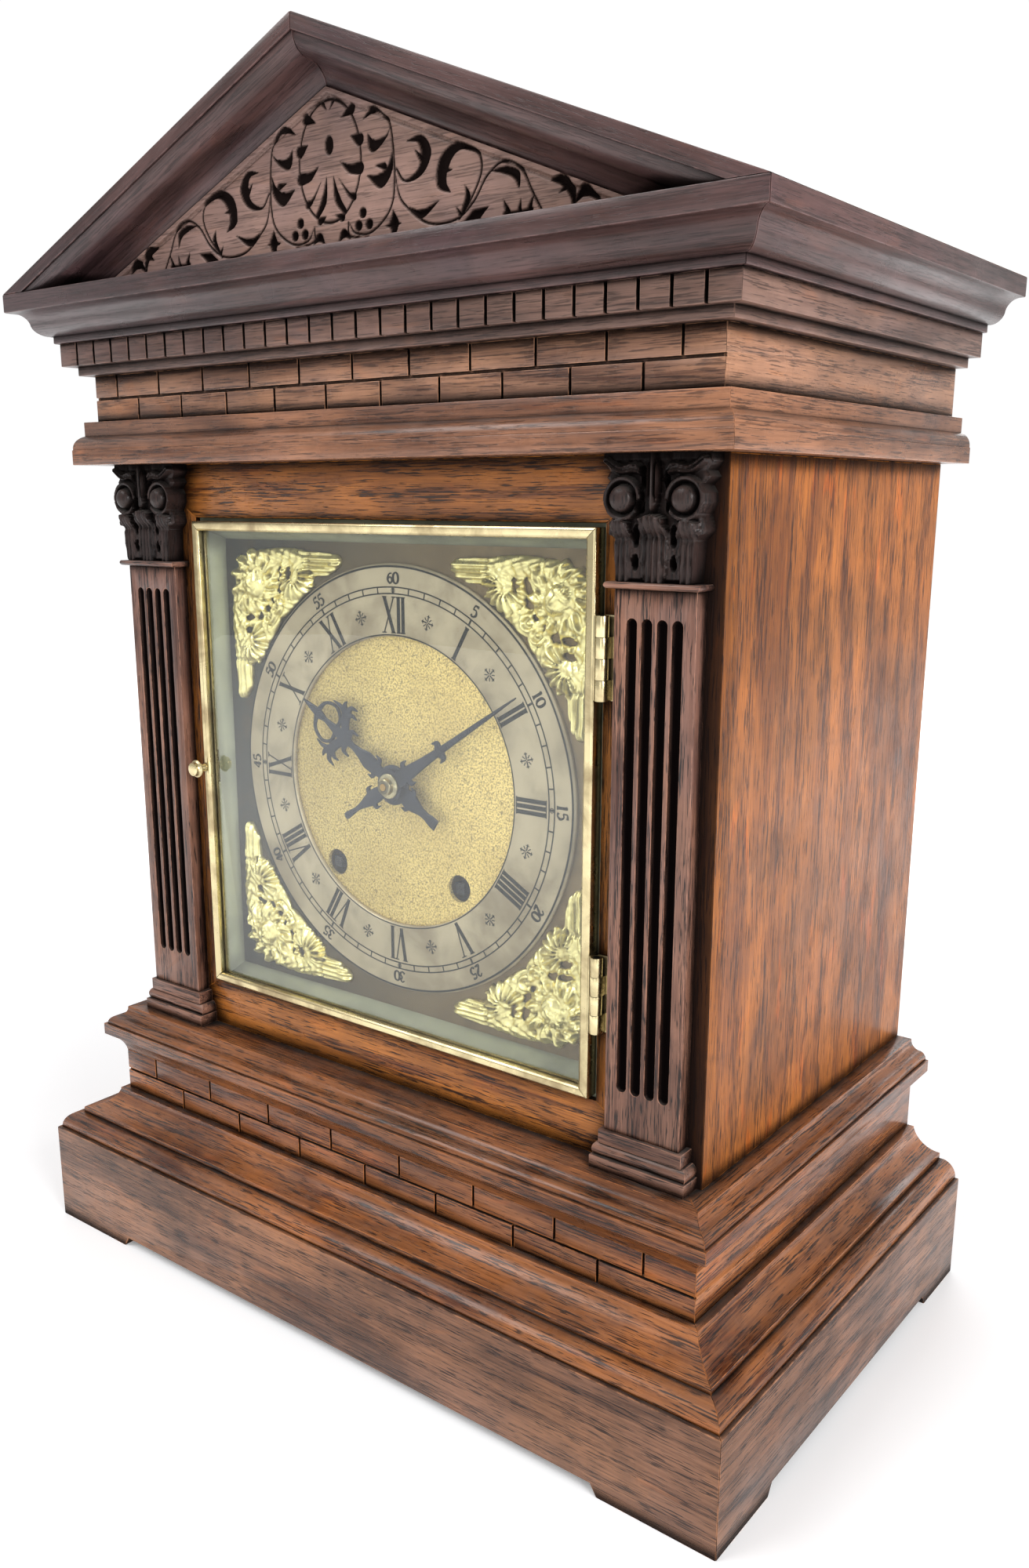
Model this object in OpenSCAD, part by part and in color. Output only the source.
// Bracket clock with a temple case: oak courses, pilasters, pediment, brass door, dial and movement.
// Millimetres, +Z up, front towards -Y, origin under the middle of the whole clock.
// Depths are measured forward from the back of the case, heights from the table.

/* [Case] */
// Width of the case over its side panels
case_w = 310.4; // [306:0.2:330]
// Depth of the case from its back to its front frame
case_d = 185; // [182:0.5:200]
// Height of the case between the cap moulding and the architrave
case_h = 260; // [256:0.5:280]
// Thickness of the side panels
side_t = 12; // [9:0.5:13]
// Thickness of the front frame
frame_t = 12; // [10:0.5:13]
// Width of the front frame's inner part, which shows beside the opening
stile_w = 34.9; // [33.7:0.1:35.2]
// Height of the front frame under the opening
opening_up = 22; // [20:0.5:26]
// Height of the front frame over the opening
opening_down = 22.5; // [20:0.5:25]
// Thickness of the floor and the top board
board_t = 10; // [8:0.5:12]
// Width left for glue between two pieces
glue = 0.05; // [0.04:0.01:0.1]

/* [Plinth] */
// How far the courses' line stands outside the side panels
line_side = 2.6; // [2:0.1:4]
// How far the courses' line stands in front of the case
line_front = 10.5; // [10:0.1:14]
// Width of the wood behind the courses' line
course_in = 24; // [23:0.5:28]
// Height of the plinth
plinth_h = 48.5; // [42:0.5:60]
// How far the plinth stands out
plinth_out = 31.7; // [31:0.1:38]
// Thickness of the plinth boards
plinth_t = 18; // [12:1:22]
// Height of the feet
foot_h = 4.8; // [3:0.1:8]
// Length of a foot along the front
front_foot = 50; // [35:1:70]
// Length of the front foot along the side
side_foot = 39; // [30:1:60]
// Length of the rear foot along the side
rear_foot = 34; // [25:1:60]
// Slope at the inner end of a foot
foot_slope = 3; // [1:0.5:6]

/* [Base mouldings] */
// How far the ovolo's foot stands out
ovolo_out = 30; // [28:0.1:31]
// How far the ovolo's top stands out
ovolo_top = 24; // [23:0.1:26]
// Height of the ovolo
ovolo_h = 7.5; // [5:0.1:10]
// How far the groove above the ovolo stands out
groove_out = 21.9; // [20:0.1:22.5]
// Height of the groove above the ovolo
groove_h = 2.6; // [1.5:0.1:4]
// How far the top of the hollow stands out
hollow_top = 8.7; // [7:0.1:12]
// Height of the hollow
hollow_h = 8.7; // [6:0.1:12]
// Height of the lip over the hollow
hollow_lip = 0.9; // [0.5:0.1:2]
// How far the base frieze stands out
base_frieze_out = 5.4; // [4:0.1:6.5]
// Height of the base frieze
base_frieze_h = 20.3; // [16:0.1:26]
// How far the cap moulding stands out
cap_out = 12.9; // [12:0.1:15]
// Height of the cove under the cap moulding
cap_cove_h = 9; // [6:0.1:12]
// Height of the cap moulding's fillet
cap_fillet_h = 5.6; // [4:0.1:8]
// Height of the cap moulding's quarter round
cap_round_h = 3.5; // [2.5:0.1:5]
// Height of the small hollow on the cap moulding
cap_hollow_h = 3.2; // [2:0.1:5]
// Height of the ledge above the hollow
cap_ledge_h = 1.7; // [1:0.1:3]
// How far the ledge stands out
cap_ledge_out = 4.2; // [3:0.1:6]

/* [Upper courses] */
// How far the architrave's fascia stands out
fascia_out = 9.3; // [8:0.1:11]
// Height of the fascia
fascia_h = 6.5; // [5:0.1:9]
// Height of the architrave's ovolo
fascia_ovolo_h = 6; // [4:0.1:8]
// How far the architrave's top fillet stands out
fascia_top_out = 5; // [4:0.1:7]
// Height of the architrave's top fillet
fascia_top_h = 6; // [4:0.1:8]
// How far the upper frieze stands out
upper_frieze_out = 0.6; // [0:0.1:3]
// Height of the upper frieze
upper_frieze_h = 19.7; // [16:0.1:25]
// How far the band under the dentils stands out
band_out = 5.6; // [4:0.1:8]
// Height of the band under the dentils
band_h = 3.8; // [3:0.1:6]
// How far the dentils stand out
dentil_out = 10.6; // [9:0.1:12]
// Height of the dentils
dentil_h = 9.5; // [7:0.1:12]
// Distance from one dentil to the next
dentil_pitch = 12.03; // [10:0.01:14]
// Width of a saw cut between dentils
dentil_gap = 1.3; // [0.8:0.1:2.5]
// Depth of a saw cut between dentils
dentil_deep = 2.6; // [1:0.1:4]
// Distance between upright joints in the base frieze
base_brick = 40.3; // [34:0.1:46]
// Distance between upright joints in the upper frieze
upper_brick = 28.6; // [24:0.1:34]
// Width of a brick joint
brick_gap = 1.1; // [0.6:0.1:2]
// Depth of a brick joint
brick_deep = 1; // [0.5:0.1:2]
// How far the cornice's small fillet stands out
cornice_foot_out = 12.5; // [12:0.1:14]
// Height of the cornice's small fillet
cornice_foot_h = 3; // [2:0.1:5]
// How far the middle of the cyma stands out
cyma_mid_out = 19; // [17:0.1:21]
// How far the top of the cyma stands out
cyma_top_out = 24.5; // [23:0.1:26]
// Height of the cyma's lower half
cyma_low_h = 4; // [3:0.1:6]
// Height of the cyma's upper half
cyma_high_h = 5.5; // [4:0.1:8]
// How far the cornice's top fillet stands out
cornice_out = 26.7; // [26.1:0.1:30]
// Height of the cornice's top fillet
cornice_top_h = 7.5; // [5:0.1:10]

/* [Pediment] */
// Rise of the pediment over the cornice
pediment_h = 75.1; // [66:0.1:86]
// Upright height of the sloping fillet
rake_fillet = 5.7; // [4:0.1:8]
// Upright height of the sloping cornice
rake_h = 19.8; // [16:0.1:24]
// How far the sloping cornice stands in front of the tympanum
rake_out = 17.2; // [14:0.1:20]
// Thickness of the tympanum
tympanum_t = 12; // [8:0.5:16]
// Depth of the carving in the tympanum
carving_deep = 2.2; // [1:0.1:4]
// Thickness of the roof boards
roof_t = 8; // [6:0.5:10]

/* [Pilasters] */
// Distance from the side of the case to the middle of a pilaster
pilaster_in = 22.6; // [22.6:0.1:24]
// Width of a pilaster's shaft
shaft_w = 32.2; // [28:0.2:33]
// Thickness of a pilaster's shaft
shaft_t = 6.5; // [5:0.1:9]
// Distance between flutes
flute_pitch = 6; // [5:0.1:7]
// Radius of a flute
flute_r = 2.1; // [1.4:0.1:2.4]
// Height of a pilaster's base
pilaster_base_h = 15.5; // [12:0.5:20]
// Height of the necking under a capital
necking_h = 2.3; // [1.6:0.1:4]
// Height of a capital with the neck below it
capital_h = 41.7; // [38:0.1:46]
// Width of a capital at its foot
capital_foot_w = 30.4; // [28:0.2:32]
// Width of a capital at its top
capital_top_w = 45.6; // [42:0.2:47]
// Radius of a volute's button
volute_r = 3.8; // [3:0.1:4.5]

/* [Front door] */
// Gap round the door
door_gap = 1.6; // [1:0.1:2]
// Thickness of the door frame
door_t = 6.3; // [5.5:0.1:7]
// How far the door frame is let into the opening
door_in = 2; // [1.5:0.1:2.2]
// Width of the door frame
door_rail = 4; // [3.8:0.1:4.5]
// Width of the door frame's outer web
door_web = 2.5; // [2.3:0.1:2.7]
// Thickness of the glass
glass_t = 2.7; // [2:0.1:3]
// Width of the bevel on the glass
glass_bevel = 12; // [8:0.5:16]
// Radius of a hinge barrel
barrel_r = 2.4; // [2.2:0.1:2.5]
// Length of a hinge
hinge_h = 30; // [24:1:36]
// Height of the lower hinge's middle above the opening
low_hinge = 44.3; // [35:0.5:55]
// Distance of the upper hinge's middle below the opening's top
high_hinge = 46.3; // [35.5:0.1:65.5]
// Radius of a hinge pin
pin_r = 1.2; // [1:0.1:1.4]
// Clearance of a part that turns on another
run_gap = 0.04; // [0.03:0.01:0.08]
// Radius of the door knob
knob_r = 4; // [3.2:0.1:5]
// Height of the door knob above the opening
knob_up = 104.5; // [90:0.5:120]

/* [Rear door] */
// Width of the back frame beside the rear opening
rear_stile = 28.2; // [23.2:0.2:38.2]
// Height of the back frame under the rear opening
rear_up = 24; // [20:1:40]
// Height of the back frame over the rear opening
rear_down = 24; // [24:1:40]
// Thickness of the back frame
back_t = 10; // [8:0.5:12]
// How far the rear door stands out of the back
rear_proud = 1.5; // [1:0.1:3]
// Width of the rear door's rails
rear_rail = 26; // [20:1:34]
// Thickness of the rear door
rear_t = 9; // [8:0.5:10]
// Pitch of the pierced fret
fret_pitch = 20; // [18:0.5:24]

/* [Dial] */
// Distance from the opening's side to the dial plate
dial_edge = 5.3; // [2.3:0.1:5.5]
// Distance from the opening's ends to a dial plate in its middle
dial_end = 4.75; // [4:0.05:5]
// Thickness of the dial plate
dial_t = 2; // [1.5:0.1:2.5]
// Depth of the dial behind the front frame's face
dial_back = 12.5; // [11.5:0.1:13]
// Height of the dial's middle above the middle of the opening
dial_rise = 0.25; // [0:0.05:0.5]
// Distance from the chapter ring to the nearer edges of the dial plate
ring_edge = 13.1; // [11:0.1:17]
// Width of the chapter ring
ring_w = 29.1; // [27:0.1:30]
// Thickness of the chapter ring
ring_t = 2.2; // [1.5:0.1:2.6]
// Radius of a winding hole
winding_r = 5.75; // [5.4:0.05:6.2]
// Distance of the right winding hole from the dial's middle line
wind_right = 31.5; // [31.3:0.1:32]
// Distance of the left winding hole from the dial's middle line
wind_left = 37.5; // [37:0.1:38]
// Distance of the winding holes below the dial's middle
wind_down = 40; // [39.6:0.1:41]
// Clockwise angle of the hour hand from twelve
hour_angle = 301.5; // [0:0.5:360]
// Clockwise angle of the minute hand from twelve
minute_angle = 57; // [0:0.5:360]
// Length of the hour hand
hour_len = 60.2; // [52:0.1:62]
// Length of the minute hand
minute_len = 77.5; // [70:0.1:84]

/* [Movement] */
// Distance between the movement plates
plate_space = 43.5; // [43.5:0.5:46]
// Thickness of a movement plate
plate_t = 2.5; // [2:0.1:3]
// Half width of the movement plates
plate_half = 70; // [69:0.5:76]
// Distance from the dial plate to the front movement plate
dial_feet = 12; // [12:0.1:14]
// Tooth size of the great wheels
great_mod = 0.9; // [0.88:0.01:0.92]
// Radius of a spring barrel
barrel_drum_r = 25.5; // [22:0.5:26]
// Distance from the pendulum's pivot to the middle of its bob
pendulum_len = 140; // [125:1:144]
// Radius of the pendulum's bob
bob_r = 20; // [16:0.5:22]
// Outer radius of a gong
gong_r = 42; // [38:0.5:44]
// Thickness of the seat board
seat_t = 12; // [10:0.5:14]

/* [Hidden] */
$fn = 48;

// Colours as they show on the clock
oak = [0.45, 0.25, 0.11];
dark_oak = [0.27, 0.13, 0.07];
ebonised = [0.10, 0.07, 0.05];
brass = [0.80, 0.66, 0.34];
gilt = [0.85, 0.72, 0.35];
silvered = [0.75, 0.73, 0.66];
blue_steel = [0.10, 0.14, 0.20];
steel = [0.60, 0.61, 0.62];
iron = [0.20, 0.20, 0.21];
clear_glass = [0.80, 0.88, 0.85, 0.4];

// Lines that the courses are measured from
half_w = case_w / 2;
line_half = half_w + line_side;
line_d = case_d + line_front;
plinth_half = line_half + plinth_out;
plinth_d = line_d + plinth_out;
inner_half = half_w - side_t;
cornice_half = line_half + cornice_out;
cornice_d = line_d + cornice_out;
board_half = line_half - course_in - glue;
board_d = line_d - course_in - glue;

// Heights of the courses
base_z = plinth_h;
base_frieze_z = base_z + ovolo_h + groove_h + hollow_h + hollow_lip;
cap_z = base_frieze_z + base_frieze_h;
cap_moulding_h = cap_cove_h + cap_fillet_h + cap_round_h + cap_hollow_h + cap_ledge_h;
case_z = cap_z + cap_moulding_h;
architrave_z = case_z + case_h;
upper_frieze_z = architrave_z + fascia_h + fascia_ovolo_h + fascia_top_h;
band_z = upper_frieze_z + upper_frieze_h;
dentil_z = band_z + band_h;
cornice_z = dentil_z + dentil_h;
pediment_z = cornice_z + cornice_foot_h + cyma_low_h + cyma_high_h + cornice_top_h;
apex_z = pediment_z + pediment_h;
rake_slope = pediment_h / cornice_half;
rake_angle = atan(rake_slope);

// The opening, the dial and the door
open_half = inner_half - stile_w;
open_z = case_z + opening_up;
open_top = architrave_z - opening_down;
dial_z = (open_z + open_top) / 2 + dial_rise;
dial_front = case_d - dial_back;
dial_w = 2 * (open_half - dial_edge);
dial_h = open_top - open_z - 2 * dial_end;
ring_out = min(dial_w, dial_h) / 2 - ring_edge;
ring_in = ring_out - ring_w;
door_half = open_half - door_gap;
door_z = open_z + door_gap;
door_top = open_top - door_gap;
door_back = case_d - door_in;
door_front = door_back + door_t;
lip_t = 3.1;
glass_gap = 0.1;
glass_half = door_half - door_web - glass_gap;
glass_z = door_z + door_web + glass_gap;
glass_top = door_top - door_web - glass_gap;
glass_back = door_back + 1.6;
glass_edge = glass_t - 1.4;
leaf_t = 0.8;
knuckles = 4;
knuckle_gap = 0.1;
edge_leaf_t = 0.5;
hinge_x = door_half + edge_leaf_t + 0.2 + barrel_r;
hinge_d = case_d + barrel_r + leaf_t + 0.3;
hinge_zs = [open_z + low_hinge, open_top - high_hinge];
knob_x = door_half - door_web / 2;
knob_z = open_z + knob_up;
shank_r = 0.7;
tongue_len = 6;
tongue_w = 2.6;
tongue_t = 2.2;
tongue_gap = 0.4;
surround_front = door_back - 0.2;

// The reveal's opening at its front, and what it leaves in sight of the dial
reveal_half = open_half - 5.3;
reveal_low = open_z + 4;
reveal_high = open_top - 5.5;
reveal_tall = (reveal_high - reveal_low) / 2;
sight_z = (reveal_low + reveal_high) / 2;
sight_half = reveal_half - 2;
sight_tall = reveal_tall - 4.6;

// The rear door
rear_half = inner_half - rear_stile;
rear_z = case_z + rear_up;
rear_top = architrave_z - rear_down;
rear_gap = 1;
rear_hinge_r = 2.2;
rear_hinge_d = -rear_proud - rear_hinge_r - 0.3;
rear_hinge_x = rear_half - rear_gap + rear_hinge_r + 0.3;
rear_hinge_in = 40;
rear_hinge_zs = [rear_z + rear_hinge_in, rear_top - rear_hinge_in];
rear_knob_r = 7;
rear_knob_t = 5;
rear_knob_x = rear_half - rear_gap - rear_rail / 2;
rear_reach = rear_proud + 0.3 + rear_knob_t;
back_y = (plinth_d - rear_reach) / 2;

// The movement, from the dial towards the back
seat_gap = 8;
pillar_in = 7;
pillar_low = 8;
pillar_high = 13;
pillar_r = 4;
foot_r = 3;
stand_half = 26;
stand_deep = 18;
stand_t = 8;
stand_post = 7;
stand_post_deep = 4;
front_plate_front = dial_front - dial_t - dial_feet;
front_plate_back = front_plate_front - plate_t;
back_plate_front = front_plate_back - plate_space;
back_plate_back = back_plate_front - plate_t;
seat_top = dial_z - 76.5;
plate_z = seat_top;
plate_top = dial_z + 59;
going_at = [wind_right, dial_z - wind_down];
strike_at = [-wind_left, dial_z - wind_down];
centre_at = [0, dial_z];
great_teeth = 64;
leaf_teeth = 8;
second_teeth = 60;
second_mod = 0.7;
centre_teeth = 84;
centre_mod = 0.5;
third_pinion_teeth = 7;
third_teeth = 75;
third_mod = 0.45;
escape_pinion_teeth = 6;
escape_teeth = 32;
escape_r = 13;
strike_mod = 0.6;
pin_teeth = 48;
fly_pinion_teeth = 7;
cannon_teeth = 12;
minute_teeth = 36;
cannon_mod = 0.75;
minute_pinion_teeth = 10;
hour_teeth = 40;
hour_mod = 0.72;

// Distance between two wheels in mesh
function mesh(mod, a, b) = mod * (a + b) / 2;

// Meeting point of two circles, on the right of the way from p to q when side is 1
function meeting(p, rp, q, rq, side) =
    let (d = norm(q - p), a = (rp * rp - rq * rq + d * d) / (2 * d), h = sqrt(rp * rp - a * a),
        u = (q - p) / d)
    p + a * u + side * h * [u[1], -u[0]];

// Unit step at an angle
function heading(angle) = [cos(angle), sin(angle)];

// Direction from one place to another, in degrees
function toward(p, q) = atan2(q[1] - p[1], q[0] - p[0]);

second_at = meeting(going_at, mesh(great_mod, great_teeth, leaf_teeth), centre_at,
    mesh(second_mod, second_teeth, leaf_teeth), 1);
third_angle = 125;
third_at = centre_at + mesh(centre_mod, centre_teeth, third_pinion_teeth) * heading(third_angle);
escape_arm = mesh(third_mod, third_teeth, escape_pinion_teeth);
escape_at = [0, third_at[1] + sqrt(escape_arm * escape_arm - third_at[0] * third_at[0])];
pivot_z = escape_at[1] + 20;
strike_angle = 95;
strike_second_at = strike_at + mesh(great_mod, great_teeth, leaf_teeth) * heading(strike_angle);
pin_angle = 85;
pin_at = strike_second_at + mesh(strike_mod, second_teeth, leaf_teeth) * heading(pin_angle);
fly_angle = 75;
fly_at = pin_at + mesh(strike_mod, pin_teeth, fly_pinion_teeth) * heading(fly_angle);
minute_at = centre_at + [0, mesh(cannon_mod, cannon_teeth, minute_teeth)];

// Depths inside the movement, forward from the back plate
drum_from = 6;
drum_to = 34;
great_from = 35;
wheel_t = 2;
second_from = 39.5;
centre_from = 24;
third_from = 16;
escape_from = 7;
pin_from = 28;
fly_from = 32;
fly_to = 42;
arbor_r = 1.2;
shoulder_gap = 0.2;
crutch_len = 46;
crutch_t = 3;
pins = 8;
pin_ring = 11.4;
pivot_r = 1;
winding_arbor_r = 3.5;
square_w = 4.6;

// The hands' stack, forward from the dial
pipe_in_r = 1.5;
cannon_r = 2.5;
hour_pipe_r = 3.6;
hour_plane = dial_front + ring_t + 1.6;
minute_plane = hour_plane + 2;
hand_t = 1;

// Gongs and hammers, forward from the back of the case
gong_z = dial_z - 41.5;
treble_d = 72;
bass_d = 50;
gong_wire = 1.6;
gong_turns = 4;
gong_hub_r = 4;
gong_rod_r = 2;
hammer_r = 6;
hammer_t = 7;
hammer_gap = 0.6;
hammer_x = gong_r + gong_wire + hammer_gap + hammer_r;
hammer_pivot_x = hammer_x + 6;
hammer_pivot_z = gong_z + 62;
pendulum_d = back_plate_back - 12;
rod_r = 1.3;
bob_t = 10;
cut = 700;

// Points of an arc after a, ending at b, that bulges by s to the left of the way
function arc(a, b, s, n = 8) =
    let (d = b - a, len = norm(d), r = (len * len / 4 + s * s) / (2 * abs(s)), k = sign(s),
        c = (a + b) / 2 + [-d[1], d[0]] / len * (s - k * r),
        start = atan2(a[1] - c[1], a[0] - c[0]), sweep = -k * 2 * asin(min(1, len / (2 * r))))
    [for (i = [1:n]) c + r * [cos(start + sweep * i / n), sin(start + sweep * i / n)]];

// Moves a part from the back of the case to the clock's own origin
module from_back() {
    translate([0, back_y, 0]) children();
}

// Block between two places across, in depth and in height
module block(x0, x1, d0, d1, z0, z1) {
    translate([x0, -d1, z0]) cube([x1 - x0, d1 - d0, z1 - z0]);
}

// Left and right copies
module pair() {
    children();
    mirror([1, 0, 0]) children();
}

// Section drawn as depth and height, run from x0 to x1
module along_x(x0, x1) {
    translate([x0, 0, 0]) mirror([0, 1, 0]) rotate([90, 0, 90]) linear_extrude(x1 - x0) children();
}

// Outline drawn as seen from the front, between two depths
module facing(d0, d1) {
    translate([0, -d0, 0]) rotate([90, 0, 0]) linear_extrude(d1 - d0) children();
}

// Plan drawn as across and depth, between two heights
module plan(z0, z1) {
    translate([0, 0, z0]) mirror([0, 1, 0]) linear_extrude(z1 - z0) children();
}

// Round bar from front to back
module rod(at, d0, d1, r) {
    translate([at[0], -d0, at[1]]) rotate([90, 0, 0]) cylinder(h = d1 - d0, r = r);
}

// Upright round bar
module post(x, d, z0, z1, r) {
    translate([x, -d, z0]) cylinder(h = z1 - z0, r = r);
}

// Course in a front length and two side lengths with mitres, from a section of projection and height
module course(reach) {
    wide = reach + 1;
    back = course_in + 1;
    intersection() {
        along_x(-line_half - reach, line_half + reach) translate([line_d, 0]) children();
        plan(-1, cut) polygon([[-line_half + back, line_d - back], [line_half - back, line_d - back],
            [line_half + wide, line_d + wide], [-line_half - wide, line_d + wide]]);
    }
    pair() intersection() {
        translate([line_half, 0, 0]) rotate([90, 0, 0]) linear_extrude(line_d + reach) children();
        plan(-1, cut) polygon([[line_half - back, -1], [line_half + wide, -1],
            [line_half + wide, line_d + wide - glue], [line_half - back, line_d - back - glue]]);
    }
}

// Joints between two rows of bricks, cut into the front of a course
module brick_joints(z0, z1, out, pitch, low_shift) {
    face = line_d + out;
    limit = line_half + out - pitch / 5;
    mid = (z0 + z1) / 2;
    half = brick_gap / 2;
    block(-cut / 2, cut / 2, face - brick_deep, face + 1, mid - half, mid + half);
    for (row = [0, 1])
        for (k = [-9:9])
            let (x = (k + (row == 0 ? low_shift : 0.5 - low_shift)) * pitch)
                if (abs(x) < limit)
                    block(x - half, x + half, face - brick_deep, face + 1,
                        row == 0 ? z0 - 1 : mid, row == 0 ? mid : z1 + 1);
}

// Flat frame of four mitred boards with outer and inner half widths and heights
module mitred_boards(wo, lo, ho, wi, li, hi, d0, d1) {
    facing(d0, d1) {
        polygon([[-wo, ho], [wo, ho], [wi, hi], [-wi, hi]]);
        polygon([[-wo, lo], [wo, lo], [wi, li], [-wi, li]]);
        for (side = [-1, 1])
            polygon([[side * wo, lo + glue], [side * wo, ho - glue], [side * wi, hi - glue],
                [side * wi, li + glue]]);
    }
}

// Frame of four mitred lengths from a section of inward width and depth
module mitred_section(half, z0, z1, width) {
    mid = (z0 + z1) / 2;
    tall = (z1 - z0) / 2;
    translate([0, 0, mid]) {
        for (end = [0, 1]) mirror([0, 0, end]) intersection() {
            translate([-half, 0, tall]) mirror([0, 1, 0]) rotate([-90, 0, 0]) rotate([90, 0, 90])
                linear_extrude(2 * half) children();
            facing(-1, cut / 2) polygon([[-half, tall], [half, tall], [half - width, tall - width],
                [width - half, tall - width]]);
        }
        for (end = [0, 1]) mirror([end, 0, 0]) intersection() {
            translate([half, 0, -tall]) rotate([0, 0, 180]) linear_extrude(2 * tall) children();
            facing(-1, cut / 2) polygon([[half, -tall + glue], [half, tall - glue],
                [half - width, tall - width - glue], [half - width, width - tall + glue]]);
        }
    }
}

// Toothed outline with its first tooth at a given angle
module teeth(n, mod, first, tip = 0.65, root = 0.22) {
    r = n * mod / 2;
    pitch = 360 / n;
    polygon([for (i = [0:n - 1]) for (p = [[-1.15, -root], [tip, -0.07], [tip, 0.07], [-1.15, root]])
        (r + p[0] * mod) * heading(first + (i + p[1]) * pitch)]);
}

// Wheel with a tooth towards its neighbour, crossed out with five spokes where there is room
module wheel(at, n, mod, face, d0, d1, bore, spokes = 5) {
    r = n * mod / 2;
    facing(d0, d1) translate(at) difference() {
        teeth(n, mod, face);
        circle(r = bore);
        if (r > 12)
            for (k = [0:spokes - 1]) rotate(k * 360 / spokes) intersection() {
                difference() {
                    circle(r = r - 1.15 * mod - 2.2);
                    circle(r = r * 0.3);
                }
                polygon([[1.6, 1.2], [r * 2, 1.2], 2 * r * heading(360 / spokes) + [1, -3]]);
            }
    }
}

// Pinion with a gap towards its neighbour
module pinion(at, n, mod, face, d0, d1, bore = 0) {
    facing(d0, d1) translate(at) difference() {
        teeth(n, mod, face + 180 / n, 0.55, 0.18);
        if (bore > 0) circle(r = bore);
    }
}

// Hinge knuckles of one leaf: every other one of the barrel, bored for the pin
module knuckle_set(x, d, mid, first, r) {
    step = hinge_h / knuckles;
    difference() {
        for (k = [first:2:knuckles - 1])
            post(x, d, mid - hinge_h / 2 + k * step + knuckle_gap / 2,
                mid - hinge_h / 2 + (k + 1) * step - knuckle_gap / 2, r);
        post(x, d, mid - hinge_h, mid + hinge_h, pin_r + run_gap);
    }
}

// Web that joins every other knuckle to its leaf
module knuckle_web(x0, x1, d0, d1, mid, first) {
    step = hinge_h / knuckles;
    for (k = [first:2:knuckles - 1])
        block(x0, x1, d0, d1, mid - hinge_h / 2 + k * step + knuckle_gap / 2,
            mid - hinge_h / 2 + (k + 1) * step - knuckle_gap / 2);
}

module plinth() {
    slope = foot_slope;
    color(oak) from_back() {
        difference() {
            course(plinth_out) polygon([[plinth_out - plinth_t, 0], [plinth_out, 0],
                [plinth_out, plinth_h], [plinth_out - plinth_t, plinth_h]]);
            facing(plinth_d - plinth_t - 1, plinth_d + 1) polygon([[front_foot - plinth_half, -1],
                [plinth_half - front_foot, -1], [plinth_half - front_foot, 0],
                [plinth_half - front_foot - slope, foot_h], [front_foot + slope - plinth_half, foot_h],
                [front_foot - plinth_half, 0]]);
            pair() along_x(plinth_half - plinth_t - 1, plinth_half + 1) polygon([[rear_foot, -1],
                [plinth_d - side_foot, -1], [plinth_d - side_foot, 0],
                [plinth_d - side_foot - slope, foot_h], [rear_foot + slope, foot_h], [rear_foot, 0]]);
        }
        block(-plinth_half + plinth_t + glue, plinth_half - plinth_t - glue, 0, plinth_t, foot_h, plinth_h);
    }
}

module base_moulding() {
    z1 = base_z + ovolo_h;
    z2 = z1 + groove_h;
    z3 = z2 + hollow_h;
    color(oak) from_back() course(ovolo_out) polygon(concat([[-course_in, base_z], [ovolo_out, base_z]],
        arc([ovolo_out, base_z], [ovolo_top, z1], -1.8),
        [[groove_out, z1], [groove_out, z2]],
        arc([groove_out, z2], [hollow_top, z3], 2.6),
        [[hollow_top, base_frieze_z], [-course_in, base_frieze_z]]));
}

module base_frieze() {
    color(oak) from_back() difference() {
        course(base_frieze_out) polygon([[-course_in, base_frieze_z], [base_frieze_out, base_frieze_z],
            [base_frieze_out, cap_z], [-course_in, cap_z]]);
        brick_joints(base_frieze_z, cap_z, base_frieze_out, base_brick, 0);
    }
}

module cap_moulding() {
    z1 = cap_z + cap_cove_h;
    z2 = z1 + cap_fillet_h;
    z3 = z2 + cap_round_h;
    z4 = z3 + cap_hollow_h;
    step = cap_out - 1.3;
    color(oak) from_back() course(cap_out) polygon(concat(
        [[-course_in, cap_z], [base_frieze_out, cap_z]],
        arc([base_frieze_out, cap_z], [cap_out - 0.2, z1], 1.6),
        [[cap_out, z1], [cap_out, z2], [step, z2]],
        arc([step, z2], [step - 2.8, z3], -0.8),
        arc([step - 2.8, z3], [cap_ledge_out + 0.2, z4], 0.9),
        [[cap_ledge_out, case_z], [-course_in, case_z]]));
}

module case_boards() {
    color(oak) from_back() {
        block(-board_half, board_half, 0, board_d, case_z - board_t, case_z);
        block(-board_half, board_half, 0, board_d, pediment_z - board_t, pediment_z);
    }
}

module side_panels() {
    color(oak) from_back() pair() block(inner_half, half_w, 0, case_d, case_z, architrave_z);
}

module front_frame() {
    slot_z = knob_z - tongue_len - 1;
    color(oak) from_back() difference() {
        mitred_boards(inner_half, case_z, architrave_z, open_half, open_z, open_top,
            case_d - frame_t, case_d);
        block(-knob_x - tongue_len - 1, -open_half + 1, surround_front - tongue_gap - tongue_t - 1,
            door_back + 0.1, slot_z, knob_z + tongue_w);
    }
}

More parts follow.
